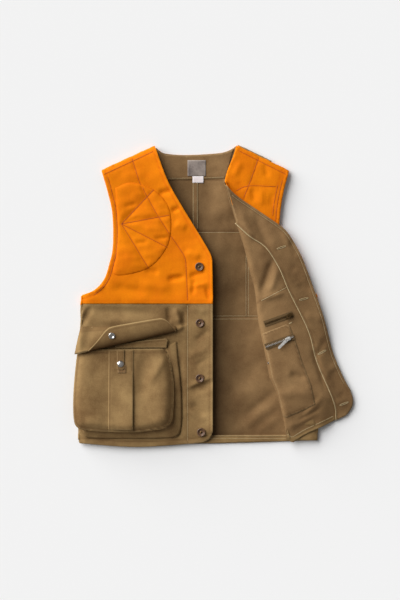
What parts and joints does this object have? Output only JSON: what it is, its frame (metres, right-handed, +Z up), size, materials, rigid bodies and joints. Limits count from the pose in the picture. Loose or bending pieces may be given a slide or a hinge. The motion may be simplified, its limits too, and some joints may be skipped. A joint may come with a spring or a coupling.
{
  "type": "field vest",
  "caption": "Sleeveless button front field vest lying on its back, blaze yoke over tan canvas, bellows pocket, one front turned back to show the inside.",
  "frame": {"origin": "under the middle of the vest, on the surface it lies on", "axes": "+X across the chest towards the turned back front, +Y from hem to collar, +Z up from the surface"},
  "size_m": [0.6124, 0.661, 0.0444],
  "materials": {
    "blaze_cloth": "woven, matte",
    "tan_canvas": "woven, matte",
    "tan_lining": "woven, matte",
    "woven_label": "woven, satin",
    "white_label": "satin",
    "brown_button": "satin",
    "nickel": "satin",
    "antique_brass": "satin",
    "zip_tape": "woven, matte"
  },
  "bodies": {
    "root": {"back_yoke": "blaze_cloth", "back_body": "tan_canvas", "back_lining_left": "tan_lining", "back_lining_right": "tan_lining", "back_lining_waist": "tan_lining", "game_pouch": "tan_lining", "neck_facing": "tan_lining", "back_hem": "tan_canvas", "centre_back_seam": "tan_canvas", "neck_label": "woven_label", "size_label": "white_label", "right_yoke": "blaze_cloth", "right_front": "tan_canvas", "right_front_lining": "tan_lining", "shoulder_pad": "blaze_cloth", "right_shoulder_seam": "tan_lining", "left_shoulder_seam": "tan_lining", "right_side_seam": "tan_lining", "left_side_seam": "tan_lining", "pocket_gusset": "tan_canvas", "pocket_front": "tan_canvas", "pocket_pleat": "tan_canvas", "snap_tab": "tan_canvas", "tab_snap": "nickel", "flap_heel": "tan_canvas", "left_yoke": "blaze_cloth", "left_front_side": "tan_canvas", "left_side_lining": "tan_lining", "left_pocket_side": "tan_canvas"},
    "right_edge": {"right_edge_yoke": "blaze_cloth", "right_edge_front": "tan_canvas", "right_facing": "tan_lining", "button_1": "brown_button", "button_2": "brown_button", "button_3": "brown_button", "button_4": "brown_button"},
    "flap": {"pocket_flap": "tan_canvas", "flap_snap": "nickel"},
    "left_front": {"left_turned_yoke": "blaze_cloth", "left_turned_front": "tan_canvas", "left_yoke_lining": "tan_lining", "left_front_lining": "tan_lining", "left_facing": "tan_lining", "inner_pocket": "tan_lining", "left_pocket_front": "tan_canvas", "lining_snap": "nickel", "lower_zip_tape": "zip_tape", "lower_zip_chain": "nickel", "upper_zip_tape": "zip_tape", "upper_zip_chain": "antique_brass"},
    "lower_slider": {"lower_zip_slider": "nickel"},
    "lower_pull": {"lower_zip_pull": "nickel"},
    "upper_slider": {"upper_zip_slider": "antique_brass"},
    "upper_pull": {"upper_zip_pull": "antique_brass"}
  },
  "joints": [
    {"name": "right_front_fold", "type": "hinge", "parent": "root", "child": "right_edge", "pos_m": [-0.09597, 0.2445, 0.01215], "axis": [0.065, -0.9979, 0], "range_deg": [0, 95]},
    {"name": "left_front_fold", "type": "hinge", "parent": "root", "child": "left_front", "pos_m": [0.02303, 0.2475, 0.02155], "axis": [0.2401, -0.9707, 0], "range_deg": [0, 174]},
    {"name": "flap_fold", "type": "hinge", "parent": "root", "child": "flap", "pos_m": [-0.29397, -0.1245, 0.029], "axis": [0.9746, 0.2196, -0.0435], "range_deg": [0, 144]},
    {"name": "lower_zip", "type": "slide", "parent": "left_front", "child": "lower_slider", "axis": [0.9394, 0.3429, 0], "range_m": [-0.044, 0.008]},
    {"name": "lower_pull_lift", "type": "hinge", "parent": "lower_slider", "child": "lower_pull", "pos_m": [0.16088, -0.09267, 0.042], "axis": [0.7078, -0.7064, 0], "range_deg": [-100, 0]},
    {"name": "upper_zip", "type": "slide", "parent": "left_front", "child": "upper_slider", "axis": [0.9424, 0.3344, 0], "range_m": [-0.05, 0]},
    {"name": "upper_pull_lift", "type": "hinge", "parent": "upper_slider", "child": "upper_pull", "pos_m": [0.16563, -0.04077, 0.0407], "axis": [0.7608, -0.649, 0], "range_deg": [-100, 0]}
  ]
}
